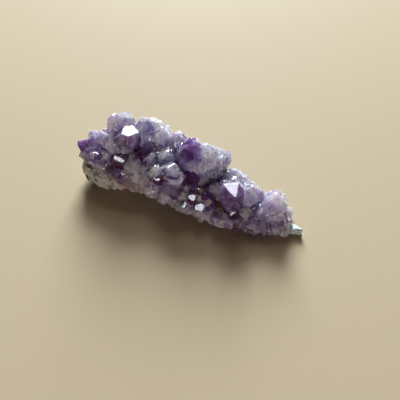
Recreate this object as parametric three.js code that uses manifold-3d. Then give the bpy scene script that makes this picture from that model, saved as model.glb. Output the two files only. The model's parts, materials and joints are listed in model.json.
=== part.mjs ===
// Amethyst cluster: a wedge broken from the wall of a geode, lying on the outside of that wall.
// It is two things. The rind is the rough host rock underneath. The crust is the quartz that
// grew on the rind: a massive bed covered in crystals that all run into one another.
// Millimetres, +Z up. +X runs along the wedge from its thick end to its thin end.
// The origin is on the surface that the rind rests on, under the middle of the whole piece.
import * as THREE from 'three';
import { mergeVertices } from 'three/addons/utils/BufferGeometryUtils.js';
import Module from 'manifold-3d';

const wasm = await Module();
wasm.setup();
const { Manifold } = wasm;

// ---- Driving dimensions ----

const RIND_ENDS = [-48.6, 50.8]; // x of the rind's thick end and of its thin tip
const BED_ENDS = [-46, 45]; // x of the two ends of the quartz bed
const RIND_GAP = 0.35; // clearance between rind and crust, all over
const FLOOR_GAP = 0.8; // lowest that any crystal reaches
const FACE_SLOPE = 51.8; // degrees between a quartz crystal's axis and the normal of an end face

// The wedge cut across at x. half and bed are the half width and height of the quartz bed about the
// line y = middle, and lip is how far down its sides come. foot and rind are the same of the rock.
const SECTIONS = [
  { x: -46, middle: -1, half: 9.2, bed: 15.5, lip: 11, foot: 12.2, rind: 11.4 },
  { x: -36, middle: -0.4, half: 12.8, bed: 18.5, lip: 10.8, foot: 14.4, rind: 11.6 },
  { x: -24, middle: 0.2, half: 13.4, bed: 18, lip: 5.2, foot: 11.8, rind: 9 },
  { x: -12, middle: 0.6, half: 12.2, bed: 16.5, lip: 4.4, foot: 9.6, rind: 7 },
  { x: 4, middle: -0.4, half: 13.4, bed: 12.5, lip: 2.6, foot: 10.8, rind: 5.6 },
  { x: 18, middle: -2.6, half: 12.4, bed: 11.5, lip: 2.2, foot: 10.2, rind: 4.8 },
  { x: 32, middle: -3.8, half: 7.8, bed: 8.4, lip: 2.2, foot: 6.6, rind: 3.6 },
  { x: 42, middle: -3.6, half: 4.6, bed: 5.2, lip: 1.8, foot: 4, rind: 3 },
  { x: 51, middle: -3, half: 1.2, bed: 2.4, lip: 1.2, foot: 3, rind: 3.2 },
];

// ---- Shared shapes ----

// A repeatable number from 0 to 1 for any three numbers.
function chance(a, b = 0, c = 0) {
  const wave = Math.sin(a * 127.1 + b * 311.7 + c * 74.7) * 43758.5453;
  return wave - Math.floor(wave);
}

// The cross-section at x, part way between the listed ones.
function sectionAt(x) {
  const found = SECTIONS.findIndex((section) => section.x > x);
  const next = found < 0 ? SECTIONS.length - 1 : Math.max(found, 1);
  const [from, to] = [SECTIONS[next - 1], SECTIONS[next]];
  const share = THREE.MathUtils.clamp((x - from.x) / (to.x - from.x), 0, 1);
  const blended = Object.keys(from).map((key) => [key, THREE.MathUtils.lerp(from[key], to[key], share)]);
  return Object.fromEntries(blended);
}

// A closed geometry as a manifold solid.
function solidFrom(geometry) {
  geometry.deleteAttribute('normal');
  geometry.deleteAttribute('uv');
  const merged = mergeVertices(geometry, 1e-4);
  return new Manifold(new wasm.Mesh({
    numProp: 3,
    vertProperties: merged.getAttribute('position').array,
    triVerts: new Uint32Array(merged.index.array),
  }));
}

// A manifold solid as a named mesh.
function meshFrom(solid, name, material) {
  const { numProp, numVert, vertProperties, triVerts } = solid.getMesh();
  const positions = new Float32Array(numVert * 3);
  for (let i = 0; i < numVert; i += 1) {
    positions.set(vertProperties.subarray(i * numProp, i * numProp + 3), i * 3);
  }
  const geometry = new THREE.BufferGeometry();
  geometry.setAttribute('position', new THREE.BufferAttribute(positions, 3));
  geometry.setIndex(new THREE.BufferAttribute(triVerts, 1));
  geometry.computeVertexNormals();
  const mesh = new THREE.Mesh(geometry, material);
  mesh.name = name;
  return mesh;
}

// A closed body along X. outline(x, turn, lump) gives [y, z] on its ring, where turn goes once round
// from +Y over the top, and lump is a repeatable number from -1 to 1. Each end is closed at its middle.
function lumpyBody([from, to], rings, corners, outline) {
  const geometry = new THREE.CylinderGeometry(1, 1, 1, corners, rings);
  const position = geometry.getAttribute('position');
  for (let i = 0; i < position.count; i += 1) {
    const along = position.getY(i) + 0.5;
    const x = THREE.MathUtils.lerp(from, to, along);
    const turn = Math.atan2(position.getZ(i), -position.getX(i));
    const onAxis = Math.hypot(position.getX(i), position.getZ(i)) < 0.5;
    const lump = 2 * chance(Math.round(along * rings), Math.round(turn * corners)) - 1;
    const [top, bottom] = [outline(x, Math.PI / 2, 0)[1], outline(x, -Math.PI / 2, 0)[1]];
    const [y, z] = onAxis ? [sectionAt(x).middle, (top + bottom) / 2] : outline(x, turn, lump);
    position.setXYZ(i, x, y, z);
  }
  return solidFrom(geometry);
}

// ---- Rind ----

const RIND_LUMP = 0.55;
const FOOT_INSET = 0.8; // width of the flat underside against the width of the rind above it
const END_LIFT = 4.2; // how far the underside curves up at the thick end
const SQUARENESS = 0.62; // under 1 makes a ring squarer than an ellipse

// The rind, or, grown by a gap, the room that it takes up in the crust.
function rindSolid(grow) {
  const ends = [RIND_ENDS[0] - grow, RIND_ENDS[1] + grow];
  return lumpyBody(ends, 24, 14, (x, turn, lump) => {
    const { middle, foot, rind } = sectionAt(x);
    const blunt = Math.min(1, 0.62 + (x - ends[0]) / 7);
    const point = Math.min(1, (ends[1] - x + 0.3) / 6);
    const [side, up] = [Math.cos(turn), Math.sin(turn)];
    const inset = up < 0 ? THREE.MathUtils.lerp(1, FOOT_INSET, -up) : 1;
    const reach = foot * blunt * point * inset + lump * RIND_LUMP + grow;
    const y = middle + Math.sign(side) * Math.abs(side) ** SQUARENESS * reach;
    const top = rind * Math.max(blunt, 0.9) + lump * RIND_LUMP + grow;
    const lift = END_LIFT * Math.max(0, 1 - (x - ends[0]) / 10) ** 1.6;
    const rise = Math.sign(up) * Math.abs(up) ** SQUARENESS;
    const z = (top / 2) * (1 + (up < 0 ? 1.25 : 1) * rise);
    return [y, Math.max(z, lift - grow)];
  });
}

// ---- Quartz bed ----

// A point on the bed and the way out of it, turn running from 0 at the -Y lip over the top to pi.
function onBed(x, turn) {
  const { middle, half, bed, lip } = sectionAt(x);
  const point = new THREE.Vector3(x, middle - Math.cos(turn) * half, lip + Math.sin(turn) * (bed - lip));
  const out = new THREE.Vector3(0, -Math.cos(turn) / half, Math.sin(turn) / (bed - lip)).normalize();
  return { point, out };
}

function bedSolid() {
  return lumpyBody(BED_ENDS, 14, 12, (x, turn, lump) => {
    const { middle, half, bed, lip } = sectionAt(x);
    const end = Math.min(1, 0.55 + (x - BED_ENDS[0]) / 9, (BED_ENDS[1] - x + 3) / 8);
    const swell = (1 + 0.06 * lump) * end;
    const up = Math.sin(turn);
    return [middle + Math.cos(turn) * half * swell, lip + up * (up > 0 ? bed - lip : 2) * swell];
  });
}

// ---- Crystals ----

// A quartz crystal: a six-sided prism cut off by six end faces, with its point at tip. heading, in
// plan from +X, and rise, above level, aim it. roll 0 has a broad end face uppermost, and 60 a narrow
// one. setBack moves every other end face out, which narrows it, and worn cuts the point off flat.
function crystalSolid({ tip, heading, rise, radius, length, roll, setBack, worn }) {
  const prism = new THREE.CylinderGeometry(radius, radius * 0.88, length, 6);
  prism.rotateX(Math.PI / 2);
  prism.translate(0, 0, radius * 0.1 - length / 2);
  let solid = solidFrom(prism);
  for (let face = 0; face < 6; face += 1) {
    const normal = new THREE.Vector3().setFromSphericalCoords(
      1,
      THREE.MathUtils.degToRad(FACE_SLOPE),
      THREE.MathUtils.degToRad(60 * face),
    );
    const out = (face % 2 ? setBack * radius : 0) + worn * radius * normal.y;
    solid = solid.trimByPlane([-normal.z, -normal.x, -normal.y], -out);
  }
  solid = solid.trimByPlane([0, 0, -1], 0);
  const turned = new THREE.Euler(
    0,
    THREE.MathUtils.degToRad(90 - rise),
    THREE.MathUtils.degToRad(heading),
    'ZYX',
  );
  const placed = new THREE.Matrix4().makeRotationFromEuler(turned).setPosition(tip);
  placed.multiply(new THREE.Matrix4().makeRotationZ(THREE.MathUtils.degToRad(180 + roll)));
  return solid.transform(placed.elements);
}

// The crystals that give the cluster its outline:
// [tip x, y, z], heading, rise, radius, roll, setBack, worn.
const LEADERS = [
  // Thick end, pointing out along -X.
  [[-50.4, -6.4, 17.4], 202, 34, 5.2, 40, 0.1, 0.08],
  [[-47.4, -8.6, 12.8], 210, 14, 3.8, 20, 0.2, 0.12],
  [[-45.4, -8.4, 16.6], 222, 40, 3.8, 30, 0.15, 0.12],
  [[-46.6, -1.8, 21], 172, 66, 1.7, 10, 0.15, 0.05],
  [[-49, 3.6, 14.6], 176, 22, 4.8, 30, 0.2, 0.12],
  [[-44.4, 8, 15.8], 150, 34, 3.8, 35, 0.3, 0.2],
  [[-41.4, -1.6, 22.4], 152, 60, 3.6, 50, 0.1, 0.12],
  [[-39.6, -9.4, 13.6], 250, 30, 4.6, 30, 0.2, 0.12],
  // Crest of the thick end.
  [[-35.6, -1.6, 24.8], 150, 64, 5, 0, 0.15, 0],
  [[-31.6, -5.8, 23], 270, 62, 4.6, 35, 0.15, 0.12],
  [[-39.2, 4.4, 26.9], 172, 40, 5.6, 30, 0.12, 0.3],
  [[-33, 6.4, 28.2], 84, 72, 6.4, 20, 0.15, 0.5],
  [[-33.4, 0.2, 25.2], 296, 52, 3.4, 20, 0.1, 0.12],
  [[-23.2, 0.3, 26.4], 16, 37, 5.4, 0, 0.34, 0],
  [[-24.8, 7.4, 27.7], 110, 74, 6, 28, 0.1, 0.35],
  [[-21.4, 11, 25.6], 78, 62, 5.4, 40, 0.2, 0.5],
  [[-16.8, 10, 24.4], 60, 62, 5, 12, 0.3, 0.5],
  // Front of the thick end.
  [[-28, -4.8, 24.2], 300, 58, 5.2, 10, 0.1, 0.12],
  [[-25.7, -10.9, 17.4], 311, 30, 4.6, 0, 0.3, 0],
  [[-33.6, -12.4, 14.8], 262, 24, 5, 36, 0.2, 0.12],
  [[-28.2, -13.6, 11], 286, 14, 4.8, 25, 0.1, 0.12],
  [[-21.2, -10.2, 16.4], 292, 42, 5, 30, 0.35, 0.35],
  [[-36.4, -8, 17.4], 240, 48, 4.2, 10, 0.1, 0.12],
  [[-22.6, -12.2, 8.8], 276, 12, 4, 12, 0.2, 0.12],
  // Middle.
  [[-19.8, -3.4, 20.2], 284, 54, 3.8, 30, 0.1, 0.12],
  [[-9.8, 9.4, 23.8], 104, 66, 4.6, 10, 0.15, 0.35],
  [[-15.8, -5.8, 20], 290, 58, 3.6, 25, 0.2, 0.12],
  [[-10.6, -9.8, 18], 292, 56, 4, 8, 0.1, 0.12],
  [[-9.4, -2, 21.8], 310, 66, 4.4, 33, 0.15, 0.12],
  [[-9.4, -12, 13], 282, 24, 3.6, 15, 0.2, 0.12],
  [[-0.6, -9.8, 19.6], 334, 23, 3.9, 0, 0.12, 0],
  [[1.4, -13.6, 16.8], 318, 28, 6.4, 0, 0.22, 0],
  [[5.4, 1.4, 25], 298, 74, 7.6, 24, 0.1, 0.45],
  [[0.4, 1.2, 25.5], 290, 74, 7.2, 30, 0.1, 0.4],
  [[-2.6, 4.6, 25.4], 200, 78, 5.4, 24, 0.1, 0.3],
  [[6.6, 4.8, 24.2], 10, 70, 5.8, 24, 0.15, 0.4],
  [[10.4, 10.6, 20.6], 80, 50, 4.8, 20, 0.3, 0.35],
  [[11.4, 2.8, 21], 304, 60, 4.6, 8, 0.2, 0.3],
  [[11.6, -6.4, 15.4], 232, 55, 3.2, 0, 0.2, 0],
  [[7.3, -13.4, 11], 309, 32, 2.5, 0, 0.2, 0],
  [[4.4, -15.9, 8.2], 318, 32, 2.7, 0, 0.4, 0],
  [[12, -15.4, 9], 320, 32, 3, 0, 0.4, 0],
  // Towards the thin end.
  [[24.2, -11.5, 18.1], 304, 38.2, 6.4, 0, 0.04, 0],
  [[17.6, -7, 15.6], 240, 52, 4.2, 20, 0.2, 0.12],
  [[27.8, -3.4, 16.2], 320, 66, 5.4, 16, 0.1, 0.3],
  [[17.2, 5.6, 16.2], 90, 62, 4.8, 33, 0.2, 0.3],
  [[22, 5.2, 14.6], 78, 60, 4.4, 4, 0.3, 0.3],
  [[25.8, 4.4, 13], 70, 60, 4.2, 44, 0.1, 0.25],
  [[30.2, 2, 12.8], 62, 60, 3.6, 22, 0.2, 0.25],
  [[29.6, -11, 9.2], 306, 28, 3.4, 0, 0.4, 0],
  [[34, -8.2, 10.2], 292, 46, 4.2, 28, 0.1, 0.12],
  [[33.4, -0.6, 12.6], 150, 62, 3.8, 18, 0.1, 0.12],
  [[37.9, -2.2, 16.2], 294, 74, 6.2, 60, 0.12, 0.04],
  [[41, -5.2, 10.2], 312, 52, 5.4, 50, 0.12, 0.1],
  [[35.4, -10, 5.4], 292, 14, 3.6, 6, 0.2, 0.12],
  [[42.8, -0.8, 7.4], 36, 36, 3.4, 14, 0.2, 0.3],
];

const STEM = 2.3; // length of a crystal against its radius, most of it in the bed
const leaders = LEADERS.map(([[x, y, z], heading, rise, radius, roll, setBack, worn]) => ({
  tip: new THREE.Vector3(x, y, z),
  heading,
  rise,
  radius,
  length: radius * STEM,
  roll,
  setBack,
  worn,
}));

// ---- Filling crystals ----

const FILL_TRIES = 240;
const FILL_RADII = [1.9, 4.4];
const FILL_TURNS = [0.03 * Math.PI, 1.04 * Math.PI];
const FILL_LEAN = 0.3; // how far a filling crystal may lean from square to the bed
const CROWDING = 0.66; // how near two points may come, against the sum of their radii
const EVEN_STEPS = [0.7548776662, 0.569840291]; // spread the tries evenly over the bed

// Smaller crystals wherever the leaders leave the bed bare.
function fillingCrystals() {
  const made = [];
  for (let i = 1; i <= FILL_TRIES; i += 1) {
    const x = THREE.MathUtils.lerp(BED_ENDS[0] + 1, BED_ENDS[1] - 1, (i * EVEN_STEPS[0]) % 1);
    const turn = THREE.MathUtils.lerp(...FILL_TURNS, (i * EVEN_STEPS[1]) % 1);
    const { point, out } = onBed(x, turn);
    const thin = THREE.MathUtils.mapLinear(Math.max(x, 8), 8, BED_ENDS[1], 1, 0.6);
    const radius = THREE.MathUtils.lerp(...FILL_RADII, chance(i, 1) ** 1.4) * thin;
    const fanned = THREE.MathUtils.clamp((x - BED_ENDS[0] - 8) / 8, -1, 0);
    const aim = new THREE.Vector3(chance(i, 2) - 0.5, chance(i, 3) - 0.5, chance(i, 4) - 0.5)
      .multiplyScalar(2 * FILL_LEAN)
      .add(out)
      .add(new THREE.Vector3(fanned, 0, 0))
      .normalize();
    const tip = point.addScaledVector(aim, radius * 0.75);
    const crowded = [...leaders, ...made].some((other) => (
      other.tip.distanceTo(tip) < CROWDING * (other.radius + radius)
    ));
    if (crowded || tip.z < 2 * FLOOR_GAP) continue;
    made.push({
      tip,
      heading: THREE.MathUtils.radToDeg(Math.atan2(aim.y, aim.x)),
      rise: THREE.MathUtils.radToDeg(Math.asin(aim.z)),
      radius,
      length: radius * STEM * 0.8,
      roll: chance(i, 5) * 60,
      setBack: 0.35 * chance(i, 6),
      worn: 0.3 * chance(i, 8) ** 2,
    });
  }
  return made;
}

// ---- Crust: bed and crystals in one ----

function crustSolid() {
  const crystals = [...leaders, ...fillingCrystals()].map(crystalSolid);
  const grown = Manifold.union([bedSolid(), ...crystals]);
  const trimmed = grown.trimByPlane([0, 0, 1], FLOOR_GAP).subtract(rindSolid(RIND_GAP));
  const [crust] = trimmed.decompose().sort((a, b) => b.volume() - a.volume());
  return crust;
}

const rindMaterial = new THREE.MeshStandardMaterial({ color: 0x7d7768, roughness: 0.9, metalness: 0 });
const crustMaterial = new THREE.MeshStandardMaterial({ color: 0x8a6fa8, roughness: 0.2, metalness: 0 });

const cluster = new THREE.Group();
cluster.add(
  meshFrom(rindSolid(0), 'rock_rind', rindMaterial),
  meshFrom(crustSolid(), 'amethyst_crust', crustMaterial),
);

export default cluster;
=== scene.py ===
import json
import math

import bmesh
import bpy
import numpy as np
from mathutils import Matrix, Vector, noise

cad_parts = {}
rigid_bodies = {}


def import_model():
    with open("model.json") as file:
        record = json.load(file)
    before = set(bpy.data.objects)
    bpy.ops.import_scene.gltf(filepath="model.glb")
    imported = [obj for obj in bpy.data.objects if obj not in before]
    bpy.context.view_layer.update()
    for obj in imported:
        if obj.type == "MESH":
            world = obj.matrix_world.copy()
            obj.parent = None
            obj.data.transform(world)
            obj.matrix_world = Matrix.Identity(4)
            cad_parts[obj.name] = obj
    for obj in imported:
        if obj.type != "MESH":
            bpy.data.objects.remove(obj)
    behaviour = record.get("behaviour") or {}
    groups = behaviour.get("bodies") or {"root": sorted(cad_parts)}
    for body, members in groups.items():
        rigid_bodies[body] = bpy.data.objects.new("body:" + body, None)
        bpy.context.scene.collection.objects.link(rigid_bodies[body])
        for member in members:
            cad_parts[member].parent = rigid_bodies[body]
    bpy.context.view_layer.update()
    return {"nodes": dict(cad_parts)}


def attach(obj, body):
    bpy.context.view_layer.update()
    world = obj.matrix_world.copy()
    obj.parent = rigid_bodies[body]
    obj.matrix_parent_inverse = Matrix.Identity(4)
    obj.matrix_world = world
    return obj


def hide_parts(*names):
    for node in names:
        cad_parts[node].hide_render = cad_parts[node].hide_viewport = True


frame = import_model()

# Amethyst cluster: a wedge broken from the wall of a geode, lying on its own host rock, thick end
# at -X and thin tip at +X. Lengths are written in millimetres and multiplied by MM.
MM = 0.001


# ---- Host rock ----
# The strip of volcanic rock that lined the geode, under the quartz. It broke off rough, knobbly at
# the thick end and thinning to a flake, and weathered grey-brown with dark green and ochre patches.

ROCK_GRAIN = 0.42 * MM  # size of the rock mesh's cells
# Size and height of the relief on the broken rock.
LUMPS = (7.0, 0.9)
PITS = (2.2, 0.55)
CRACKS = (3.4, 0.7)
FLAKE_ROOT = 38.0  # x where the rock starts to thin out into the flake
FLAKE_TIP = 50.5
FLAKE_RELIEF = 0.15  # share of the relief left on the flake
ROCK_LIFT = 0.02  # how far the rock's foot is kept off the floor


def copy_of(node, name):
    """A new piece with the shape of a CAD node."""
    piece = bpy.data.objects.new(name, frame["nodes"][node].data.copy())
    bpy.context.scene.collection.objects.link(piece)
    piece.data.materials.clear()
    return piece


def with_modifiers_applied(piece):
    """Turns a piece's modifiers into plain mesh."""
    graph = bpy.context.evaluated_depsgraph_get()
    mesh = bpy.data.meshes.new_from_object(piece.evaluated_get(graph))
    piece.modifiers.clear()
    piece.data = mesh
    return piece


def evenly_meshed(piece, cell):
    """Gives a piece an even mesh with cells of the same size all over."""
    remesh = piece.modifiers.new("cells", "REMESH")
    remesh.mode = "VOXEL"
    remesh.voxel_size = cell
    return with_modifiers_applied(piece)


def moved(piece, place):
    """Moves each point of a piece to place(point, normal), both in millimetres."""
    normals = [vertex.normal.copy() for vertex in piece.data.vertices]
    for vertex, normal in zip(piece.data.vertices, normals):
        vertex.co = place(vertex.co / MM, normal) * MM
    piece.data.update()
    return piece


def smoothstep(low, high, value):
    share = min(1.0, max(0.0, (value - low) / (high - low)))
    return share * share * (3 - 2 * share)


def weathered(point, normal):
    """Where a point of the smooth rock goes once the rock is broken and weathered."""
    lumps = noise.fractal(point / LUMPS[0], 1.0, 2.0, 3) * LUMPS[1]
    pits = noise.fractal(point / PITS[0] + Vector((9, 0, 0)), 0.9, 2.1, 3) * PITS[1]
    cracks = abs(noise.noise(point / CRACKS[0] + Vector((0, 5, 0)))) - 0.2
    thickness = smoothstep(FLAKE_TIP, FLAKE_ROOT, point.x)
    relief = FLAKE_RELIEF + (1 - FLAKE_RELIEF) * thickness
    rough = point + normal * (lumps + pits + CRACKS[1] * cracks) * relief
    rough.z = max(rough.z, ROCK_LIFT)
    return rough


class Nodes:
    """Short hand for building one material's node tree."""

    def __init__(self, name):
        self.material = bpy.data.materials.new(name)
        self.material.use_nodes = True
        self.tree = self.material.node_tree
        self.shader = self.tree.nodes["Principled BSDF"]
        self.output = self.tree.nodes["Material Output"]

    def add(self, kind, **settings):
        node = self.tree.nodes.new(kind)
        for key, value in settings.items():
            setattr(node, key, value)
        return node

    def feed(self, socket, value):
        if isinstance(value, bpy.types.NodeSocket):
            self.tree.links.new(value, socket)
        else:
            socket.default_value = value

    def position(self):
        return self.add("ShaderNodeTexCoord").outputs["Object"]

    def attribute(self, name):
        return self.add("ShaderNodeAttribute", attribute_name=name).outputs

    def axis(self, name):
        parts = self.add("ShaderNodeSeparateXYZ")
        self.feed(parts.inputs[0], self.position())
        return parts.outputs[name]

    def distance_to(self, spot_mm):
        away = self.add("ShaderNodeVectorMath", operation="DISTANCE")
        self.feed(away.inputs[0], self.position())
        self.feed(away.inputs[1], Vector(spot_mm) * MM)
        return away.outputs["Value"]

    def noise(self, scale_mm, detail=4.0, roughness=0.55, where=None, distortion=0.0):
        node = self.add("ShaderNodeTexNoise")
        self.feed(node.inputs["Vector"], where or self.position())
        self.feed(node.inputs["Scale"], 1.0 / (scale_mm * MM))
        self.feed(node.inputs["Detail"], detail)
        self.feed(node.inputs["Roughness"], roughness)
        self.feed(node.inputs["Distortion"], distortion)
        return node.outputs["Fac"]

    def span(self, value, low, high, to_low=0.0, to_high=1.0):
        node = self.add("ShaderNodeMapRange")
        self.feed(node.inputs["Value"], value)
        self.feed(node.inputs["From Min"], low)
        self.feed(node.inputs["From Max"], high)
        self.feed(node.inputs["To Min"], to_low)
        self.feed(node.inputs["To Max"], to_high)
        return node.outputs["Result"]

    def mix(self, share, first, second, blend="MIX"):
        node = self.add("ShaderNodeMix", data_type="RGBA", blend_type=blend)
        self.feed(node.inputs[0], share)
        self.feed(node.inputs[6], first)
        self.feed(node.inputs[7], second)
        return node.outputs[2]

    def maths(self, operation, first, second=0.0):
        node = self.add("ShaderNodeMath", operation=operation)
        self.feed(node.inputs[0], first)
        self.feed(node.inputs[1], second)
        return node.outputs[0]

    def bump(self, height, depth_mm, strength=1.0):
        node = self.add("ShaderNodeBump")
        self.feed(node.inputs["Height"], height)
        self.feed(node.inputs["Distance"], depth_mm * MM)
        self.feed(node.inputs["Strength"], strength)
        return node.outputs["Normal"]

    def finish(self, **values):
        for name, value in values.items():
            self.feed(self.shader.inputs[name.replace("_", " ")], value)
        return self.material


ROCK_GREY = (0.52, 0.52, 0.43, 1)
ROCK_BEIGE = (0.56, 0.50, 0.40, 1)
ROCK_PALE = (0.74, 0.72, 0.63, 1)
ROCK_GREEN = (0.06, 0.075, 0.045, 1)
ROCK_BACK_SHADE = (0.42, 0.38, 0.34, 1)  # painted shade over the back of the rock, which faces the window
BACK_SHADE_STARTS = (3 * MM, 9 * MM)  # y over which the painted shade on the back sets in
FLAKE_GREEN = (0.22, 0.33, 0.27, 1)
FLAKE_WHITE = (0.55, 0.63, 0.58, 1)
FLAKE_STARTS = (42 * MM, 44 * MM)  # x over which the rock turns into the glassy flake
FOOT_SHADE = (-43.0, -11.5, 2.0)  # middle of the painted shade at the foot of the thick end, where its underside lifts off the floor
FOOT_SHADE_EDGE = (2.5 * MM, 4.5 * MM)


def rock_material():
    rock = Nodes("host_rock")
    colour = rock.mix(rock.span(rock.noise(6.0), 0.40, 0.62), ROCK_GREY, ROCK_BEIGE)
    colour = rock.mix(rock.span(rock.noise(2.4, 6.0, 0.65), 0.52, 0.68, 0.0, 0.8), colour, ROCK_PALE)
    colour = rock.mix(rock.span(rock.noise(4.2, 3.0, 0.5), 0.58, 0.66, 0.0, 0.9), colour, ROCK_GREEN)
    # Painted shade: the foot of the thick end is darkened towards dark green.
    uneven = rock.span(rock.noise(2.5), 0.3, 0.7, -2 * MM, 2 * MM)
    ragged = rock.maths("ADD", rock.distance_to(FOOT_SHADE), uneven)
    colour = rock.mix(rock.span(ragged, *FOOT_SHADE_EDGE, 0.9, 0.0), colour, ROCK_GREEN)
    speckle = rock.span(rock.noise(0.5, 3.0), 0.35, 0.7, 0.55, 1.25)
    colour = rock.mix(1.0, colour, speckle, "MULTIPLY")
    glassy = rock.span(rock.axis("X"), *FLAKE_STARTS)
    flake = rock.mix(rock.span(rock.noise(1.6, 4.0), 0.4, 0.6), FLAKE_GREEN, FLAKE_WHITE)
    colour = rock.mix(glassy, colour, flake)
    # Painted shade: the back of the rock, which faces the window, is darkened.
    colour = rock.mix(rock.span(rock.axis("Y"), *BACK_SHADE_STARTS), colour, ROCK_BACK_SHADE, "MULTIPLY")
    grains = rock.noise(0.6, 6.0, 0.7)
    dull = rock.span(grains, 0.3, 0.7, 0.7, 0.98)
    shine = rock.span(glassy, 0.0, 1.0, 1.0, 0.3)
    return rock.finish(
        Base_Color=colour,
        Roughness=rock.maths("MULTIPLY", dull, shine),
        Normal=rock.bump(grains, 0.35),
    )


host_rock = moved(evenly_meshed(copy_of("rock_rind", "host_rock"), ROCK_GRAIN), weathered)
host_rock.data.materials.append(rock_material())
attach(host_rock, "root")
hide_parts("rock_rind")


# ---- Crystals ----
# The amethyst points, intergrown into one body: six-sided quartz prisms cut by six end faces. Each
# grew out of the bed, deeper in colour towards the tip and milky at the root, with smaller points
# beside it, druse points on the bed between, and tiny ones that sugar parts of the crest.

FACE_SLOPE = math.radians(51.8)  # between a crystal's axis and the normal of an end face
EDGE_WEAR = 0.03  # width of the worn edges, to which a share of the crystal's radius is added
EDGE_WEAR_SHARE = 0.02
TAPER = 0.88  # width of a crystal's root against its width below the tip
HEAD_ROOM = 0.1  # how far the uncut prism reaches past the tip, against its radius
FLOOR_GAP = 0.8  # lowest that any crystal reaches
STEM = 2.3  # length of a crystal against its radius, most of it in the bed

# The wedge cut across at x: middle y, half width, height of the bed, and of the bed's lips.
SECTIONS = (
    (-46, -1, 9.2, 15.5, 11),
    (-36, -0.4, 12.8, 18.5, 10.8),
    (-24, 0.2, 13.4, 18, 5.2),
    (-12, 0.6, 12.2, 16.5, 4.4),
    (4, -0.4, 13.4, 12.5, 2.6),
    (18, -2.6, 12.4, 11.5, 2.2),
    (32, -3.8, 7.8, 8.4, 2.2),
    (42, -3.6, 4.6, 5.2, 1.8),
    (51, -3, 1.2, 2.4, 1.2),
)
BED_ENDS = (-46, 45)

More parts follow.
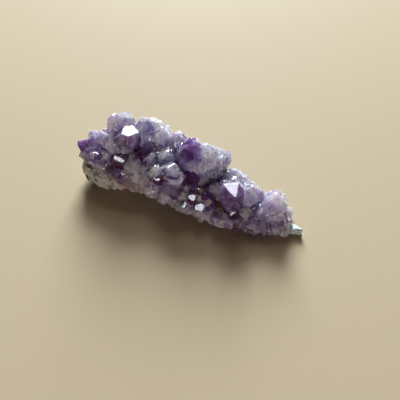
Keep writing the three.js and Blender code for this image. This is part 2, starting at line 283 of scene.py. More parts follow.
# The crystals that give the cluster its outline:
# (tip x, y, z), heading, rise, radius, roll, set-back, wear of the tip, depth and warmth of colour,
# milkiness. A leader with roll 0 has a broad end face uppermost.
LEADERS = (
    # Thick end, pointing out along -X.
    ((-50.4, -6.4, 17.4), 202, 34, 5.2, 40, 0.1, 0.08, 0.62, 0.3, 0.25),
    ((-47.4, -8.6, 12.8), 210, 14, 3.8, 20, 0.2, 0.12, 0.3, 0.3, 0.45),
    ((-45.4, -8.4, 16.6), 222, 40, 3.8, 30, 0.15, 0.12, 0.5, 0.3, 0.1),
    ((-46.6, -1.8, 21), 172, 66, 1.7, 10, 0.15, 0.05, 0.4, 0.15, 0.2),
    ((-49, 3.6, 14.6), 176, 22, 4.8, 30, 0.2, 0.12, 0.6, 0.3, 0.1),
    ((-44.4, 8, 15.8), 150, 34, 3.8, 35, 0.3, 0.2, 0.5, 0.3, 0.2),
    ((-41.4, -1.6, 22.4), 152, 60, 3.6, 50, 0.1, 0.12, 0.4, 0.1, 0.2),
    ((-39.6, -9.4, 13.6), 250, 30, 4.6, 30, 0.2, 0.12, 0.85, 0.5, 0),
    # Crest of the thick end.
    ((-35.6, -1.6, 24.8), 150, 64, 5, 0, 0.15, 0, 0.3, 0.05, 0.1),
    ((-31.6, -5.8, 23), 270, 62, 4.6, 35, 0.15, 0.12, 0.5, 0.15, 0.1),
    ((-39.2, 4.4, 26.9), 172, 40, 5.6, 30, 0.12, 0.3, 0.4, 0.3, 0.1),
    ((-33, 6.4, 28.2), 84, 72, 6.4, 20, 0.15, 0.5, 0.2, 0.25, 0.3),
    ((-33.4, 0.2, 25.2), 296, 52, 3.4, 20, 0.1, 0.12, 0.8, 0.95, 0),
    ((-23.2, 0.3, 26.4), 16, 37, 5.4, 0, 0.34, 0, 0.7, 0.6, 0.05),
    ((-24.8, 7.4, 27.7), 110, 74, 6, 28, 0.1, 0.35, 0.22, 0.1, 0.3),
    ((-21.4, 11, 25.6), 78, 62, 5.4, 40, 0.2, 0.5, 0.05, 0.2, 0.8),
    ((-16.8, 10, 24.4), 60, 62, 5, 12, 0.3, 0.5, 0.03, 0.2, 0.9),
    # Front of the thick end.
    ((-28, -4.8, 24.2), 300, 58, 5.2, 10, 0.1, 0.12, 0.38, 0, 0.2),
    ((-25.7, -10.9, 17.4), 311, 30, 4.6, 0, 0.3, 0, 0.85, 0.55, 0),
    ((-33.6, -12.4, 14.8), 262, 24, 5, 36, 0.2, 0.12, 0.8, 0.5, 0),
    ((-28.2, -13.6, 11), 286, 14, 4.8, 25, 0.1, 0.12, 0.7, 0.5, 0.05),
    ((-21.2, -10.2, 16.4), 292, 42, 5, 30, 0.35, 0.35, 0.03, 0.3, 0.5),
    ((-36.4, -8, 17.4), 240, 48, 4.2, 10, 0.1, 0.12, 0.75, 0.35, 0),
    ((-22.6, -12.2, 8.8), 276, 12, 4, 12, 0.2, 0.12, 0.2, 0.4, 0.5),
    # Middle.
    ((-19.8, -3.4, 20.2), 284, 54, 3.8, 30, 0.1, 0.12, 0.95, 0.3, 0),
    ((-9.8, 9.4, 23.8), 104, 66, 4.6, 10, 0.15, 0.35, 0.35, 0.2, 0.25),
    ((-15.8, -5.8, 20), 290, 58, 3.6, 25, 0.2, 0.12, 0.2, 0, 0.15),
    ((-10.6, -9.8, 18), 292, 56, 4, 8, 0.1, 0.12, 0.15, 0, 0.25),
    ((-9.4, -2, 21.8), 310, 66, 4.4, 33, 0.15, 0.12, 0.2, 0, 0.25),
    ((-9.4, -12, 13), 282, 24, 3.6, 15, 0.2, 0.12, 0.4, 0.5, 0.3),
    ((-0.6, -9.8, 19.6), 334, 23, 3.9, 0, 0.12, 0, 0.5, 0.05, 0),
    ((1.4, -13.6, 16.8), 318, 28, 6.4, 0, 0.22, 0, 0.9, 0.6, 0),
    ((5.4, 1.4, 25), 298, 74, 7.6, 24, 0.1, 0.45, 0.12, 0.1, 0.5),
    ((0.4, 1.2, 25.5), 290, 74, 7.2, 30, 0.1, 0.4, 0.25, 0.1, 0.1),
    ((-2.6, 4.6, 25.4), 200, 78, 5.4, 24, 0.1, 0.3, 0.5, 0.1, 0.1),
    ((6.6, 4.8, 24.2), 10, 70, 5.8, 24, 0.15, 0.4, 0.1, 0.1, 0.7),
    ((10.4, 10.6, 20.6), 80, 50, 4.8, 20, 0.3, 0.35, 0.15, 0.1, 0.15),
    ((11.4, 2.8, 21), 304, 60, 4.6, 8, 0.2, 0.3, 0.3, 0, 0.1),
    ((11.6, -6.4, 15.4), 232, 55, 3.2, 0, 0.2, 0, 0.15, 0, 0.1),
    ((7.3, -13.4, 11), 309, 32, 2.5, 0, 0.2, 0, 0.5, 0.4, 0.1),
    ((4.4, -15.9, 8.2), 318, 32, 2.7, 0, 0.4, 0, 0.1, 0, 0.3),
    ((12, -15.4, 9), 320, 32, 3, 0, 0.4, 0, 0.1, 0, 0.3),
    # Towards the thin end.
    ((24.2, -11.5, 18.1), 304, 38.2, 6.4, 0, 0.04, 0, 0.8, 0.35, 0),
    ((17.6, -7, 15.6), 240, 52, 4.2, 20, 0.2, 0.12, 0.5, 0.3, 0.2),
    ((27.8, -3.4, 16.2), 320, 66, 5.4, 16, 0.1, 0.3, 0.3, 0.2, 0.35),
    ((17.2, 5.6, 16.2), 90, 62, 4.8, 33, 0.2, 0.3, 0.25, 0.1, 0.4),
    ((22, 5.2, 14.6), 78, 60, 4.4, 4, 0.3, 0.3, 0.2, 0.15, 0.5),
    ((25.8, 4.4, 13), 70, 60, 4.2, 44, 0.1, 0.25, 0.35, 0.2, 0.35),
    ((30.2, 2, 12.8), 62, 60, 3.6, 22, 0.2, 0.25, 0.3, 0.2, 0.3),
    ((29.6, -11, 9.2), 306, 28, 3.4, 0, 0.4, 0, 0.1, 0, 0.4),
    ((34, -8.2, 10.2), 292, 46, 4.2, 28, 0.1, 0.12, 0.6, 0.4, 0.05),
    ((33.4, -0.6, 12.6), 150, 62, 3.8, 18, 0.1, 0.12, 0.35, 0.25, 0.25),
    ((37.9, -2.2, 16.2), 294, 74, 6.2, 60, 0.12, 0.04, 0.35, 0.6, 0.3),
    ((41, -5.2, 10.2), 312, 52, 5.4, 50, 0.12, 0.1, 0.2, 0.5, 0.35),
    ((35.4, -10, 5.4), 292, 14, 3.6, 6, 0.2, 0.12, 0.7, 1, 0),
    ((42.8, -0.8, 7.4), 36, 36, 3.4, 14, 0.2, 0.3, 0.4, 0.4, 0.2),
)

FILL_TRIES = 240
FILL_RADII = (1.9, 4.4)
FILL_TURNS = (0.03 * math.pi, 1.04 * math.pi)
FILL_LEAN = 0.3  # how far a filling crystal may lean from square to the bed
FILL_OUT = 0.75  # height of a filling crystal's tip over the bed, against its radius
FILL_SET_BACK = 0.35  # most that its second faces are set back, against its radius
FILL_WEAR = 0.3  # most that its tip is worn
FILL_STEM = 0.8  # length of its stem against a leader's
THINNER = 0.6  # size of the filling crystals at the thin end, against the others
CROWDING = 0.66  # how near two points may come, against the sum of their radii
OPEN_WAYS = (Vector((0.29, -0.65, 0.71)), Vector((-0.28, 0.48, 0.83)))  # kept open over level faces
OPEN_REACH = 0.7  # how wide, against the radii of the two crystals
BROAD = 5.2  # crystals of at least this radius stand free of small ones in front
BROAD_REACH = 0.55  # how wide, against the broad crystal's radius
EVEN_STEPS = (0.7548776662, 0.569840291)  # spread the tries evenly over the bed


def chance(a, b=0.0, c=0.0):
    """A repeatable number from 0 to 1 for any three numbers."""
    wave = math.sin(a * 127.1 + b * 311.7 + c * 74.7) * 43758.5453
    return wave - math.floor(wave)


def between(low, high, share):
    return low + (high - low) * share


def section_at(x):
    """Middle, half width, bed height and lip height at x."""
    xs = [section[0] for section in SECTIONS]
    return [float(np.interp(x, xs, column)) for column in list(zip(*SECTIONS))[1:]]


def on_bed(x, turn):
    """A point on the bed and the way out of it; turn runs from the -Y lip over the top to pi."""
    middle, half, bed, lip = section_at(x)
    point = Vector((x, middle - math.cos(turn) * half, lip + math.sin(turn) * (bed - lip)))
    out = Vector((0, -math.cos(turn) / half, math.sin(turn) / (bed - lip)))
    return point, out.normalized()


class Crystal:
    """One quartz crystal in millimetres: its place, and the planes that bound it."""

    def __init__(
        self, tip, heading, rise, radius, roll, set_back, worn, tone, warmth, milk, length=None,
    ):
        self.tip = Vector(tip)
        self.heading = heading
        self.rise = rise
        self.radius = radius
        self.roll = roll
        self.set_back = set_back
        self.worn = worn
        self.tone = tone
        self.warmth = warmth
        self.milk = milk
        self.length = length or radius * STEM

    def placement(self):
        """The move from a crystal that stands upright with its tip at the origin to this one."""
        turned = Matrix.Rotation(math.radians(self.heading), 4, "Z")
        tilted = Matrix.Rotation(math.radians(90 - self.rise), 4, "Y")
        rolled = Matrix.Rotation(math.radians(180 + self.roll), 4, "Z")
        return Matrix.Translation(self.tip) @ turned @ tilted @ rolled

    def axis(self):
        return self.placement().to_3x3() @ Vector((0, 0, 1))

    def end_faces(self):
        """(point on the plane, normal) of each end face, before placement."""
        for face in range(6):
            around = math.radians(60 * face)
            normal = Vector((math.cos(around), math.sin(around), 0)) * math.sin(FACE_SLOPE)
            normal.z = math.cos(FACE_SLOPE)
            out = (self.set_back if face % 2 else 0.0) + self.worn * normal.z
            yield normal * out * self.radius, normal

    def mesh(self):
        """The closed crystal with its worn edges marked, cut off over the floor, in metres."""
        body = bmesh.new()
        edge_mark = body.faces.layers.int.new("worn_edge")
        bmesh.ops.create_cone(
            body, cap_ends=True, segments=6, radius1=self.radius * TAPER, radius2=self.radius,
            depth=self.length,
        )
        middle = self.radius * HEAD_ROOM - self.length / 2
        bmesh.ops.translate(body, verts=body.verts, vec=(0, 0, middle))
        cuts = list(self.end_faces())
        if self.worn:
            cuts.append((Vector((0, 0, 0)), Vector((0, 0, 1))))
        for point, normal in cuts:
            parts = body.verts[:] + body.edges[:] + body.faces[:]
            cut = bmesh.ops.bisect_plane(
                body, geom=parts, dist=1e-4, plane_co=point, plane_no=normal, clear_outer=True,
            )
            rim = [part for part in cut["geom_cut"] if isinstance(part, bmesh.types.BMEdge)]
            if rim:
                bmesh.ops.edgeloop_fill(body, edges=rim)
        bmesh.ops.remove_doubles(body, verts=body.verts, dist=1e-3)
        worn = bmesh.ops.bevel(
            body, geom=body.edges[:], offset=EDGE_WEAR + EDGE_WEAR_SHARE * self.radius, segments=1,
            affect="EDGES", clamp_overlap=True,
        )
        for face in worn["faces"]:
            face[edge_mark] = 1
        bmesh.ops.recalc_face_normals(body, faces=body.faces)
        body.transform(self.placement())
        parts = body.verts[:] + body.edges[:] + body.faces[:]
        cut = bmesh.ops.bisect_plane(
            body, geom=parts, dist=1e-4, plane_co=(0, 0, FLOOR_GAP), plane_no=(0, 0, -1),
            clear_outer=True,
        )
        rim = [part for part in cut["geom_cut"] if isinstance(part, bmesh.types.BMEdge)]
        if rim:
            bmesh.ops.edgeloop_fill(body, edges=rim)
        body.transform(Matrix.Scale(MM, 4))
        return body

    def planes(self):
        """Outward normals and offsets of the faces, with the tip and the base, after placement."""
        place = self.placement()
        turn = place.to_3x3()
        base = Vector((0, 0, HEAD_ROOM * self.radius - self.length))
        ends = [(Vector((0, 0, 0)), Vector((0, 0, 1))), (base, Vector((0, 0, -1)))]
        ends += self.end_faces()
        found = [(turn @ normal, place @ point) for point, normal in ends]
        for side in range(6):
            around = math.radians(60 * side)
            normal = Vector((math.cos(around), math.sin(around), 0))
            found.append((turn @ normal, place @ (normal * self.radius * math.cos(math.pi / 6))))
        return [(normal, normal.dot(point)) for normal, point in found]

    def stands_over(self, spot, reach, way):
        """True where this crystal lies within reach of the line that leaves a spot along way."""
        for point in (self.tip, self.tip - self.axis() * self.radius):
            ahead = (point - spot).dot(way)
            if ahead > -0.3 * self.radius and (spot + way * ahead - point).length < reach:
                return True
        return False

    def clear_of(self, leaders):
        """False where this crystal would hide a leader's level face, or the body of a large one."""
        for leader in leaders:
            if leader is self or (leader.tip - self.tip).length > 4 * leader.radius + self.radius:
                continue
            if not leader.roll:
                face = leader.tip - leader.face_way() * leader.radius * OPEN_REACH
                reach = OPEN_REACH * (leader.radius + self.radius)
                if any(self.stands_over(face, reach, way) for way in OPEN_WAYS):
                    return False
            if leader.radius >= BROAD:
                body = leader.tip - leader.axis() * leader.radius * 0.6
                if self.stands_over(body, BROAD_REACH * leader.radius, OPEN_WAYS[0]):
                    return False
        return True

    def face_way(self):
        """Level direction from the middle of the uppermost face to the tip."""
        turn = math.radians(self.heading)
        return Vector((math.cos(turn), math.sin(turn), 0))


# Where the small growth differs from the leaders round it, and where painted shade darkens it in the
# hollow and over the back:
# (centre x, y, z), reach, depth of colour, warmth, milkiness.
GROWTH_AND_SHADE_POCKETS = (
    ((-46, -8, 8), 6, 0.25, 0.4, 0.5),
    ((-40, -13, 6), 8, 0.25, 0.6, 0.6),
    ((-24, -14, 5), 8, 0.15, 0.6, 0.7),
    ((-12, -14, 6), 7, 0.2, 0.6, 0.7),
    ((-17, -4, 18), 4, 0.9, 0.3, 0.0),
    ((-10, -8, 17), 6, 0.15, 0.0, 0.3),
    ((-18, 11, 24), 7, 0.05, 0.2, 0.85),
    # painted shade in the hollow under the large middle crystal
    ((6, -6, 12), 9, 1.2, 0.3, 0.0),
    ((5, -15, 4), 7, 0.08, 0.0, 0.5),
    ((-33, -8, 19), 5, 0.6, 0.05, 0.0),
    ((22, 6, 13), 9, 0.2, 0.15, 0.5),
    ((25, -13, 4), 9, 0.8, 1.1, 0.0),
    ((43, -8, 5), 6, 0.25, 0.5, 0.4),
    # painted shade over the back, which faces the window
    ((-38, 12, 13), 10, 0.9, 0.2, 0.0),
    ((-20, 16, 11), 11, 0.75, 0.1, 0.0),
    ((0, 15, 8), 11, 0.8, 0.2, 0.0),
    ((20, 11, 6), 9, 0.7, 0.2, 0.0),
)
POCKET_PULL = 3.5  # a pocket as wide as this pulls as hard as one leader
GROWTH_SPREAD = (0.35, 0.4, 0.25)  # how far depth, warmth and milkiness may stray


def local_growth(tip, leaders, index):
    """Depth of colour, warmth and milkiness of a small crystal, taken from those round it."""
    known = [(near.tip, 1.0, (near.tone, near.warmth, near.milk)) for near in leaders]
    known += [(Vector(centre), reach / POCKET_PULL, colour) for centre, reach, *colour in GROWTH_AND_SHADE_POCKETS]
    pulls = [1.0 / (0.3 + (place - tip).length / reach) ** 4 for place, reach, _ in known]
    mixed = [
        sum(pull * colour[k] for pull, (_, _, colour) in zip(pulls, known)) / sum(pulls)
        for k in range(3)
    ]
    return [
        min(1.0, max(0.0, value + between(-wide, wide, chance(index, k, 31))))
        for k, (value, wide) in enumerate(zip(mixed, GROWTH_SPREAD))
    ]


def filling_crystals(leaders):
    """Smaller crystals wherever the leaders leave the bed bare."""
    made = []
    for i in range(1, FILL_TRIES + 1):
        x = between(BED_ENDS[0] + 1, BED_ENDS[1] - 1, (i * EVEN_STEPS[0]) % 1)
        turn = between(*FILL_TURNS, (i * EVEN_STEPS[1]) % 1)
        point, out = on_bed(x, turn)
        thin = between(1, THINNER, (max(x, 8) - 8) / (BED_ENDS[1] - 8))
        radius = between(*FILL_RADII, chance(i, 1) ** 1.4) * thin
        fanned = min(0, max(-1, (x - BED_ENDS[0] - 8) / 8))
        lean = Vector((chance(i, 2) - 0.5, chance(i, 3) - 0.5, chance(i, 4) - 0.5))
        aim = (lean * 2 * FILL_LEAN + out + Vector((fanned, 0, 0))).normalized()
        tip = point + aim * radius * FILL_OUT
        crowded = any(
            (other.tip - tip).length < CROWDING * (other.radius + radius)
            for other in leaders + made
        )
        if crowded or tip.z < 2 * FLOOR_GAP:
            continue
        made.append(Crystal(
            tip, math.degrees(math.atan2(aim.y, aim.x)), math.degrees(math.asin(aim.z)), radius,
            chance(i, 5) * 60, FILL_SET_BACK * chance(i, 6), FILL_WEAR * chance(i, 8) ** 2,
            *local_growth(tip, leaders, i), radius * STEM * FILL_STEM,
        ))
    return made


# The points beside a crystal, against its radius: size, distance from its axis, depth of the tip.
SIDE_SIZES = (0.22, 0.5)
SIDE_AWAY = (0.75, 1.05)
SIDE_DOWN = (1.0, 1.8)
SIDE_LOWEST = 2.4  # height below which no side point has its tip
SIDE_TURN = 9  # degrees by which it may differ in heading and in rise
SIDE_ROLL = 6
SIDE_WORN = 0.1


def side_growths(parent, index):
    """Smaller points grown beside a crystal, nearly parallel to it and lower down."""
    frame_of = parent.placement()
    count = int(round(parent.radius))
    for j in range(count):
        around = 2 * math.pi * (j + chance(index, j, 1)) / count
        size = parent.radius * between(*SIDE_SIZES, chance(index, j, 2) ** 1.5)
        away = parent.radius * between(*SIDE_AWAY, chance(index, j, 3))
        down = parent.radius * between(*SIDE_DOWN, chance(index, j, 4))
        tip = frame_of @ Vector((math.cos(around) * away, math.sin(around) * away, -down))
        if tip.z < SIDE_LOWEST:
            continue
        yield Crystal(
            tip,
            parent.heading + between(-SIDE_TURN, SIDE_TURN, chance(index, j, 5)),
            parent.rise + between(-SIDE_TURN, SIDE_TURN, chance(index, j, 6)),
            size, parent.roll + between(-SIDE_ROLL, SIDE_ROLL, chance(index, j, 7)),
            0.3 * chance(index, j, 8), SIDE_WORN,
            parent.tone * between(0.5, 1.1, chance(index, j, 9)),
            parent.warmth, parent.milk * between(0.5, 1.5, chance(index, j, 10)),
        )


def largest_body(piece):
    """Takes away whatever isn't joined to the largest part of a piece."""
    mesh = bmesh.new()
    mesh.from_mesh(piece.data)
    unseen = set(mesh.verts)
    bodies = []
    while unseen:
        body = {unseen.pop()}
        waiting = list(body)
        while waiting:
            vertex = waiting.pop()
            beyond = {edge.other_vert(vertex) for edge in vertex.link_edges} & unseen
            unseen -= beyond
            body |= beyond
            waiting.extend(beyond)
        bodies.append(body)
    bodies.sort(key=len)
    loose = [vertex for body in bodies[:-1] for vertex in body]
    bmesh.ops.delete(mesh, geom=loose, context="VERTS")
    mesh.to_mesh(piece.data)
    mesh.free()
    return piece


def grown_together(crystals, name):
    """One closed piece out of many crystals, each face marked with the crystal it belongs to."""
    loose = bpy.data.collections.new("loose")
    bpy.context.scene.collection.children.link(loose)
    for index, crystal in enumerate(crystals):
        mesh = bpy.data.meshes.new("crystal")
        body = crystal.mesh()
        body.to_mesh(mesh)
        body.free()
        grain = mesh.attributes.new("grain", "INT", "FACE")
        grain.data.foreach_set("value", [index] * len(mesh.polygons))
        loose.objects.link(bpy.data.objects.new("crystal", mesh))
    first, *others = list(loose.objects)
    loose.objects.unlink(first)
    bpy.context.scene.collection.objects.link(first)
    union = first.modifiers.new("union", "BOOLEAN")
    union.operation = "UNION"
    union.operand_type = "COLLECTION"
    union.collection = loose
    union.solver = "MANIFOLD"
    piece = largest_body(with_modifiers_applied(first))
    piece.name = name
    piece.data.materials.clear()
    for other in others:
        bpy.data.objects.remove(other)
    bpy.data.collections.remove(loose)
    return piece


ROOT_FADE = 2.4  # radii below the tip at which a crystal is as cloudy as it gets
DEPTH_CLEARS = 0.65  # how far a deep colour keeps the root clear
MILK_CLOUDS = 0.8
EDGE_FROST_AND_HIGHLIGHT = 0.5  # cloudiness that the worn edges add: frosted wear and a painted highlight along the edges
BELOW_UNIT = 20  # the depth below the tip is stored in units of this many millimetres


def each_corner(values, owner):
    """One value per crystal, repeated for the corners that belong to it."""
    return np.array(values)[owner]


def coloured_by_growth(piece, crystals):
    """Stores distance below the tip, depth, warmth and cloudiness on each corner of each face."""
    mesh = piece.data
    grain = np.zeros(len(mesh.polygons), int)
    mesh.attributes["grain"].data.foreach_get("value", grain)
    worn = np.zeros(len(mesh.polygons), int)
    mesh.attributes["worn_edge"].data.foreach_get("value", worn)
    corner_vertex = np.zeros(len(mesh.loops), int)
    mesh.loops.foreach_get("vertex_index", corner_vertex)
    sizes = np.zeros(len(mesh.polygons), int)
    mesh.polygons.foreach_get("loop_total", sizes)
    points = np.zeros(len(mesh.vertices) * 3)
    mesh.vertices.foreach_get("co", points)
    points = points.reshape(-1, 3)[corner_vertex] / MM
    owner = np.repeat(grain, sizes)
    tips = each_corner([crystal.tip for crystal in crystals], owner)
    axes = each_corner([crystal.axis() for crystal in crystals], owner)
    radii = each_corner([crystal.radius for crystal in crystals], owner)
    tone = each_corner([crystal.tone for crystal in crystals], owner)
    warmth = each_corner([crystal.warmth for crystal in crystals], owner)
    milk = each_corner([crystal.milk for crystal in crystals], owner)
    below = np.einsum("ij,ij->i", tips - points, axes)
    root = np.clip(below / (ROOT_FADE * radii), 0, 1) * (1 - DEPTH_CLEARS * tone)
    # The worn edges are lighter: frosted wear and a painted edge highlight.
    cloudy = root + MILK_CLOUDS * milk + EDGE_FROST_AND_HIGHLIGHT * np.repeat(worn, sizes)
    colours = np.stack([below / BELOW_UNIT, tone, warmth, cloudy], axis=1)
    growth = mesh.attributes.new("growth", "FLOAT_COLOR", "CORNER")
    growth.data.foreach_set("color", colours.astype(np.float32).ravel())
    return piece


CLEAR = (0.88, 0.87, 1.0, 1)
LILAC = (0.72, 0.60, 1.0, 1)
VIOLET = (0.26, 0.08, 0.44, 1)
PLUM = (0.22, 0.05, 0.17, 1)
RUST = (0.22, 0.09, 0.06, 1)
SMOKE = (0.60, 0.66, 0.95, 1)
MILK = (0.89, 0.90, 1.0, 1)
AMETHYST_ABSORBED = (0.52, 0.34, 0.76, 1)
AMETHYST_DENSITY = 5.0
CLEARNESS = 0.75  # share of the light that clear quartz lets through
MILKY_CLEARNESS = 0.35  # of that, what milky quartz still lets through
GLOW_DEPTH = 0.008  # metres that light spreads inside
# Where the colour deepens through whatever crystals are there, with painted shade in the hollow and
# over the back: (centre x, y, z), reach, added depth.
DEEP_AND_SHADED_SPOTS = (
    ((-2, -1, 25), 8.5, 0.85),
    # painted shade in the hollow under the large middle crystal
    ((8, -9, 11.5), 9, 1.4),
    ((-20, -4.5, 18), 5, 0.9),
    ((-47, -7, 16), 7, 0.2),
    # painted shade over the back, which faces the window
    ((-38, 17, 20), 11, 0.5),
    ((-20, 20, 18), 14, 0.5),
    ((6, 17, 15), 12, 0.5),
    ((24, 13, 9), 9, 0.4),
)
DEEP_CORE = 0.35  # inner share of a spot's reach that has the full depth


def amethyst_material():
    quartz = Nodes("amethyst")
    growth = quartz.attribute("growth")
    parts = quartz.add("ShaderNodeSeparateColor")
    quartz.feed(parts.inputs[0], growth["Color"])
    below, tone, warmth = parts.outputs
    cloudiness = growth["Alpha"]
    deep = quartz.mix(quartz.span(warmth, 0.0, 0.7), VIOLET, PLUM)
    deep = quartz.mix(quartz.span(warmth, 0.75, 1.0), deep, RUST)
    cool = quartz.mix(quartz.span(warmth, 0.0, 0.3, 0.75, 0.0), LILAC, SMOKE)
    patches = quartz.noise(6.5, 2.0, 0.5, distortion=0.8)
    uneven = quartz.maths("ADD", tone, quartz.span(patches, 0.35, 0.65, -0.3, 0.3))
    # Deeper colour, with painted shade in the hollow and over the back.
    for centre, reach, added in DEEP_AND_SHADED_SPOTS:
        away = quartz.distance_to(centre)
        near = quartz.span(away, DEEP_CORE * reach * MM, reach * MM, added, 0.0)
        uneven = quartz.maths("ADD", uneven, near)
        cloudiness = quartz.maths("SUBTRACT", cloudiness, near)
    colour = quartz.mix(quartz.span(uneven, 0.0, 0.45), CLEAR, cool)
    colour = quartz.mix(quartz.span(uneven, 0.4, 1.0), colour, deep)
    cloud = quartz.noise(3.0, 4.0, 0.5, distortion=0.4)
    milky = quartz.maths("ADD", cloudiness, quartz.span(cloud, 0.4, 0.7, -0.45, 0.35))
    milkiness = quartz.span(milky, 0.45, 1.05)
    folds = quartz.noise(2.4, 5.0, 0.6, distortion=1.2)
    wander = quartz.maths("ABSOLUTE", quartz.maths("SUBTRACT", folds, 0.5))
    veiled = quartz.span(quartz.noise(3.6, 2.0), 0.42, 0.58)
    veils = quartz.maths("MULTIPLY", quartz.span(wander, 0.0, 0.035, 1.0, 0.0), veiled)
    veils = quartz.maths("MULTIPLY", veils, quartz.span(tone, 0.3, 1.0, 0.8, 0.1))
    milkiness = quartz.maths("MAXIMUM", milkiness, veils)
    colour = quartz.mix(quartz.maths("MULTIPLY", milkiness, 0.75), colour, MILK)
    flaws = quartz.span(quartz.noise(1.3, 4.0, 0.65, distortion=0.6), 0.36, 0.62, 0.66, 1.25)
    colour = quartz.mix(1.0, colour, flaws, "MULTIPLY")
    steps = quartz.add("ShaderNodeTexWave", wave_type="BANDS", bands_direction="X")
    along = quartz.add("ShaderNodeCombineXYZ")
    quartz.feed(along.inputs[0], below)
    quartz.feed(steps.inputs["Vector"], along.outputs[0])
    quartz.feed(steps.inputs["Scale"], 9.0)
    quartz.feed(steps.inputs["Distortion"], 2.0)
    pits = quartz.noise(1.3, 4.0, 0.6)
    relief = quartz.mix(0.3, pits, steps.outputs["Fac"])
    absorbed = quartz.add("ShaderNodeVolumeAbsorption")
    quartz.feed(absorbed.inputs["Color"], AMETHYST_ABSORBED)
    quartz.feed(absorbed.inputs["Density"], AMETHYST_DENSITY)
    quartz.feed(quartz.output.inputs["Volume"], absorbed.outputs[0])
    clear = quartz.span(milkiness, 0.0, 1.0, CLEARNESS, CLEARNESS * MILKY_CLEARNESS)
    clear = quartz.maths("MULTIPLY", clear, quartz.span(uneven, 0.0, 0.8, 0.75, 1.0))
    return quartz.finish(
        Base_Color=colour,
        Roughness=quartz.span(pits, 0.35, 0.75, 0.02, 0.1),
        IOR=1.544,
        Transmission_Weight=clear,
        Subsurface_Weight=1.0,
        Subsurface_Radius=(0.9, 0.8, 1.0),
        Subsurface_Scale=GLOW_DEPTH,
        Coat_Weight=0.8,
        Coat_Roughness=0.03,
        Coat_IOR=1.5,
        Normal=quartz.bump(relief, 0.03),
    )


def how_deep(point, crystals_planes):
    """How far inside the nearest surrounding crystal a point is, or a negative distance outside."""
    normals, offsets = crystals_planes
    return float(-(normals @ np.array(point) - offsets).max(axis=1).min())


def stacked_planes(crystals):
    planes = [crystal.planes() for crystal in crystals]
    normals = np.array([[tuple(normal) for normal, _ in one] for one in planes])
    offsets = np.array([[offset for _, offset in one] for one in planes])
    return normals, offsets


LEVEL_SHARE = 0.14  # of the small points on the crest, those that stand with a broad face level
LEVEL_HEADING = 294
LEVEL_TURN = 30  # degrees by which a level point's heading may differ
LEVEL_TILT = 3  # degrees by which its face may be out of level
LEVEL_TURNS = (0.3 * math.pi, 0.62 * math.pi)
LEVEL_FROM = -41  # no level points nearer to the thick end than this x
SMALL_ROLLS = (1, 59)
SMALL_SET_BACK = 0.35
ROOTED = 1.5  # how much longer than a larger crystal's a small point's root is


def small_point(tip, aim, radius, may_be_level, leaders, i):
    """A small crystal along aim or, now and then, turned so that a broad face lies level."""
    heading = math.degrees(math.atan2(aim.y, aim.x))
    rise = math.degrees(math.asin(aim.z))
    roll = between(*SMALL_ROLLS, chance(i, 16))
    if may_be_level and chance(i, 22) < LEVEL_SHARE:
        heading = LEVEL_HEADING + between(-LEVEL_TURN, LEVEL_TURN, chance(i, 23))
        level = 90 - math.degrees(FACE_SLOPE)
        rise = level + between(-LEVEL_TILT, LEVEL_TILT, chance(i, 24))
        roll = 0
    return Crystal(
        tip, heading, rise, radius, roll, SMALL_SET_BACK * chance(i, 17), 0.0,
        *local_growth(tip, leaders, i), radius * STEM + ROOTED,
    )


DRUSE_TRIES = 1500
DRUSE_RADII = (0.9, 3.0)
DRUSE_TURNS = (0.0, 1.04 * math.pi)
DRUSE_LEAN = 1.1
DRUSE_OUT = (0.6, 1.3)  # height of a druse point's tip over the bed, against its radius
BURIED = 0.1  # how deep in another crystal its tip may lie, against its radius
# The front edge is broken and nearly bare: (x, turn up to which it is bare, in half turns).
BARE_EDGE = ((-46, 0.07), (-28, 0.09), (-22, 0.13), (12, 0.13), (20, 0.05), (30, 0.0))
BARE_SHARE = 0.9  # of the druse points there, those that are missing


def bare_below(x):
    """The turn up to which the broken front edge is bare at x."""
    xs, turns = zip(*BARE_EDGE)
    return math.pi * float(np.interp(x, xs, turns))


def on_crest(x, turn):
    """True where a level point still has the body behind it."""
    return x > LEVEL_FROM and LEVEL_TURNS[0] < turn < LEVEL_TURNS[1]


def druse_crystals(larger, leaders):
    """The small points that cover the bed between the larger ones."""
    surrounding = stacked_planes(larger)
    for i in range(1, DRUSE_TRIES + 1):
        x = between(BED_ENDS[0] - 1, BED_ENDS[1] - 1, (i * EVEN_STEPS[0]) % 1)
        turn = between(*DRUSE_TURNS, (i * EVEN_STEPS[1]) % 1)
        point, out = on_bed(x, turn)
        radius = between(*DRUSE_RADII, chance(i, 11) ** 2)
        lean = Vector((chance(i, 12) - 0.5, chance(i, 13) - 0.5, chance(i, 14) - 0.5))
        aim = (lean * DRUSE_LEAN + out).normalized()
        tip = point + aim * radius * between(*DRUSE_OUT, chance(i, 15))
        bare = turn < bare_below(x) and chance(i, 20) < BARE_SHARE
        if bare or how_deep(tip, surrounding) > BURIED * radius or tip.z < 2 * FLOOR_GAP:
            continue
        yield small_point(tip, aim, radius, on_crest(x, turn), leaders, i)


# Where a late growth of tiny points sugars the crystals: (centre x, y, z), reach.
SUGARED = (
    ((-14, -4, 20), 8),
    ((-19, 11, 24), 9),
    ((-6, 7, 22), 6),
    ((13, 4, 17), 6),
    ((24, 4, 13), 12),
    ((34, 0, 10), 7),
)
SUGAR_TRIES = 2400
SUGAR_RADII = (0.35, 0.85)
SUGAR_TURNS = (0.2, 1.0)  # in half turns round the bed
SUGAR_LEAN = 1.4
SUGAR_OUT = 0.8
OUTSIDE = 30  # a distance from the bed that is outside every crystal


def first_met(start, way, crystals_planes):
    """How far along way a line from outside runs before it meets a crystal."""
    normals, offsets = crystals_planes
    speed = normals @ np.array(way)
    gap = offsets - normals @ np.array(start)
    reach = gap / np.where(np.abs(speed) < 1e-9, 1e-9, speed)
    enter = np.where(speed < 0, reach, -np.inf).max(axis=1)
    leave = np.where(speed > 0, reach, np.inf).min(axis=1)
    return float(np.where(enter < leave, enter, np.inf).min())


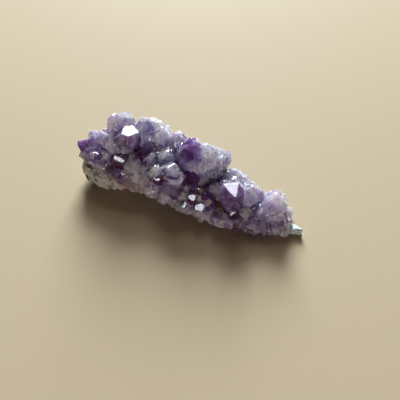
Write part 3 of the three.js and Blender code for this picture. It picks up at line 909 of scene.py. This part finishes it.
def sugar_crystals(larger, leaders):
    """Tiny points on the faces of the crystals, over parts of the crest."""
    surrounding = stacked_planes(larger)
    for i in range(1, SUGAR_TRIES + 1):
        x = between(*BED_ENDS, (i * EVEN_STEPS[0]) % 1)
        turn = between(*SUGAR_TURNS, (i * EVEN_STEPS[1]) % 1) * math.pi
        point, out = on_bed(x, turn)
        start = point + out * OUTSIDE
        met = first_met(start, -out, surrounding)
        if met > OUTSIDE:
            continue
        spot = start - out * met
        if all((Vector(centre) - spot).length > reach for centre, reach in SUGARED):
            continue
        radius = between(*SUGAR_RADII, chance(i, 41) ** 1.5)
        lean = Vector((chance(i, 42) - 0.5, chance(i, 43) - 0.5, chance(i, 44) - 0.5))
        aim = (lean * SUGAR_LEAN + out).normalized()
        tip = spot + aim * radius * SUGAR_OUT
        yield small_point(tip, aim, radius, on_crest(x, turn), leaders, i)


leaders = [Crystal(*leader) for leader in LEADERS]
filling = [crystal for crystal in filling_crystals(leaders) if crystal.clear_of(leaders)]
beside = [
    small
    for index, parent in enumerate(leaders + filling)
    for small in side_growths(parent, index)
    if small.clear_of(leaders)
]
druse = list(druse_crystals(leaders + filling + beside, leaders))
druse = [small for small in druse if small.clear_of(leaders + druse)]
sugar = list(sugar_crystals(leaders + filling + beside + druse, leaders))
sugar = [tiny for tiny in sugar if tiny.clear_of(leaders + druse)]
points = leaders + filling + beside + druse + sugar
crystals = coloured_by_growth(grown_together(points, "amethyst_crystals"), points)
crystals.data.materials.append(amethyst_material())
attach(crystals, "root")
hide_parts("amethyst_crust")


# ---- Quartz bed ----
# The massive milky quartz that grew first on the rock and fills the crystals' roots. It shows
# between the points and along the broken lower edge, where it is beige, and plum-brown with painted
# shade towards the thick end.

BED_CELL = 0.55 * MM
ROOT_DEPTH = 1.9  # how far the milky root stays under a crystal's faces
ROOT_STARTS = (1.02, 1.18)  # where crystals begin, against the width and height of the bed
BED_SINK = 0.15  # how far the bed as a whole stays under the rest


def bed_place(point, normal):
    """Where a point of the CAD crust goes: under the crystals' faces, and rough in between."""
    middle, half, bed, lip = section_at(point.x)
    rise = max(0.0, point.z - lip) / (bed - lip)
    outside = math.hypot((point.y - middle) / half, rise)
    inset = ROOT_DEPTH * smoothstep(*ROOT_STARTS, outside)
    crumbs = noise.fractal(point / 2.6, 0.9, 2.0, 4) * 0.45
    return point + normal * (crumbs - inset - BED_SINK)


BED_MILK = (0.66, 0.63, 0.62, 1)
BED_LILAC = (0.42, 0.32, 0.44, 1)
BED_GREY = (0.44, 0.48, 0.45, 1)
BED_BEIGE = (0.42, 0.36, 0.29, 1)
BED_PLUM = (0.20, 0.11, 0.11, 1)
# painted shade over the back of the bed, which faces the window
BED_BACK_SHADE = (0.13, 0.08, 0.17, 1)
PLUM_TINT_AND_SHADE = (-28.0, -13.0, 8.0)  # middle of the low front part of the bed with a plum tint and painted shade
PLUM_TINT_AND_SHADE_EDGE = (8 * MM, 17 * MM)
BROKEN_EDGE = (1.5 * MM, 6.5 * MM)  # height over which the beige broken edge ends


def bed_material():
    bed = Nodes("milky_quartz")
    colour = bed.mix(bed.span(bed.noise(5.0), 0.42, 0.6), BED_LILAC, BED_MILK)
    colour = bed.mix(bed.span(bed.noise(3.0, 5.0), 0.5, 0.66, 0.0, 0.7), colour, BED_GREY)
    # A plum tint with painted shade darkens the low front of the bed towards the thick end.
    plum_and_shade = bed.span(bed.distance_to(PLUM_TINT_AND_SHADE), *PLUM_TINT_AND_SHADE_EDGE, 1.0, 0.0)
    colour = bed.mix(bed.maths("MULTIPLY", plum_and_shade, 0.85), colour, BED_PLUM)
    # Painted shade: the back of the bed is darkened.
    colour = bed.mix(bed.span(bed.axis("Y"), *BACK_SHADE_STARTS), colour, BED_BACK_SHADE)
    low = bed.span(bed.axis("Z"), *BROKEN_EDGE, 1.0, 0.0)
    broken = bed.maths("MULTIPLY", low, bed.span(bed.noise(3.6, 4.0), 0.35, 0.55))
    colour = bed.mix(broken, colour, BED_BEIGE)
    grains = bed.noise(0.7, 6.0, 0.65)
    return bed.finish(
        Base_Color=colour,
        Roughness=bed.span(grains, 0.3, 0.7, 0.25, 0.6),
        Subsurface_Weight=0.35,
        Subsurface_Scale=0.0015,
        Normal=bed.bump(grains, 0.3),
    )


bed = moved(evenly_meshed(copy_of("amethyst_crust", "quartz_bed"), BED_CELL), bed_place)
bed.data.materials.append(bed_material())
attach(bed, "root")


# ---- Floor, light and camera ----
# A plain pale floor. A large soft window with a smaller upper pane stands behind the cluster, with
# a weak warm ceiling above it and a low weak light on the near side.

VIEW_AZIMUTH = 24  # degrees round from -Y towards +X
VIEW_ELEVATION = 45
VIEW_DISTANCE = 0.224
VIEW_CENTRE = Vector((8.2, -9.0, 8.0)) * MM
VIEW_ANGLE = 40
WINDOW_AZIMUTH = 180 + VIEW_AZIMUTH
LIT_CENTRE = Vector((0, 0, 0.01))
DAYLIGHT = (0.87, 0.96, 1.0)
FLOOR_REACH = 3.0
FLOOR_COLOUR = (0.425, 0.335, 0.218, 1)


def placed_at(azimuth, elevation, distance, target):
    """A place seen from target at an azimuth and elevation, and the way from target to it."""
    turn = math.radians(azimuth)
    lift = math.radians(elevation)
    back = Vector((
        math.sin(turn) * math.cos(lift), -math.cos(turn) * math.cos(lift), math.sin(lift),
    ))
    return target + back * distance, back


def in_scene(thing, name, place, way):
    """Puts a light or camera at a place in the scene, facing against way."""
    placed = bpy.data.objects.new(name, thing)
    placed.location = place
    placed.rotation_euler = way.to_track_quat("Z", "Y").to_euler()
    bpy.context.scene.collection.objects.link(placed)
    return placed


def soft_light(name, width, height, energy, colour, place, way):
    """A rectangular light, sizes in metres and energy in watts."""
    light = bpy.data.lights.new(name, "AREA")
    light.shape = "RECTANGLE"
    light.size = width
    light.size_y = height
    light.energy = energy
    light.color = colour
    in_scene(light, name, place, way)


floor_mesh = bpy.data.meshes.new("floor")
floor_mesh.from_pydata(
    [
        (-FLOOR_REACH, -FLOOR_REACH, 0), (FLOOR_REACH, -FLOOR_REACH, 0),
        (FLOOR_REACH, FLOOR_REACH, 0), (-FLOOR_REACH, FLOOR_REACH, 0),
    ],
    [], [(0, 1, 2, 3)],
)
floor = bpy.data.objects.new("floor", floor_mesh)
bpy.context.scene.collection.objects.link(floor)
pale = Nodes("pale_floor")
floor.data.materials.append(pale.finish(
    Base_Color=FLOOR_COLOUR, Roughness=0.8, Specular_IOR_Level=0.25,
))

window_place = placed_at(WINDOW_AZIMUTH, 25, 3.6, LIT_CENTRE)
pane_place = placed_at(WINDOW_AZIMUTH, 49, 2.0, LIT_CENTRE)
ceiling_at = Vector((-0.3, 0.5, 1.4))
room_place = placed_at(VIEW_AZIMUTH, 6, 1.5, LIT_CENTRE)
soft_light("window", 1.31, 1.62, 385.0, DAYLIGHT, *window_place)
soft_light("upper_pane", 0.6, 0.8, 10.5, DAYLIGHT, *pane_place)
soft_light("ceiling", 1.6, 1.6, 2.2, (1.0, 0.64, 0.45), ceiling_at, ceiling_at)
soft_light("room", 2.0, 0.25, 9.0, (1.0, 0.88, 0.92), *room_place)

world = bpy.data.worlds.new("room")
world.use_nodes = True
background = world.node_tree.nodes["Background"]
background.inputs["Color"].default_value = (1.0, 0.80, 0.70, 1)
background.inputs["Strength"].default_value = 0.025
bpy.context.scene.world = world

camera_data = bpy.data.cameras.new("camera")
camera_data.angle = math.radians(VIEW_ANGLE)
camera_data.clip_start = 0.01
camera_place = placed_at(VIEW_AZIMUTH, VIEW_ELEVATION, VIEW_DISTANCE, VIEW_CENTRE)
bpy.context.scene.camera = in_scene(camera_data, "camera", *camera_place)
bpy.context.scene.view_settings.view_transform = "Standard"
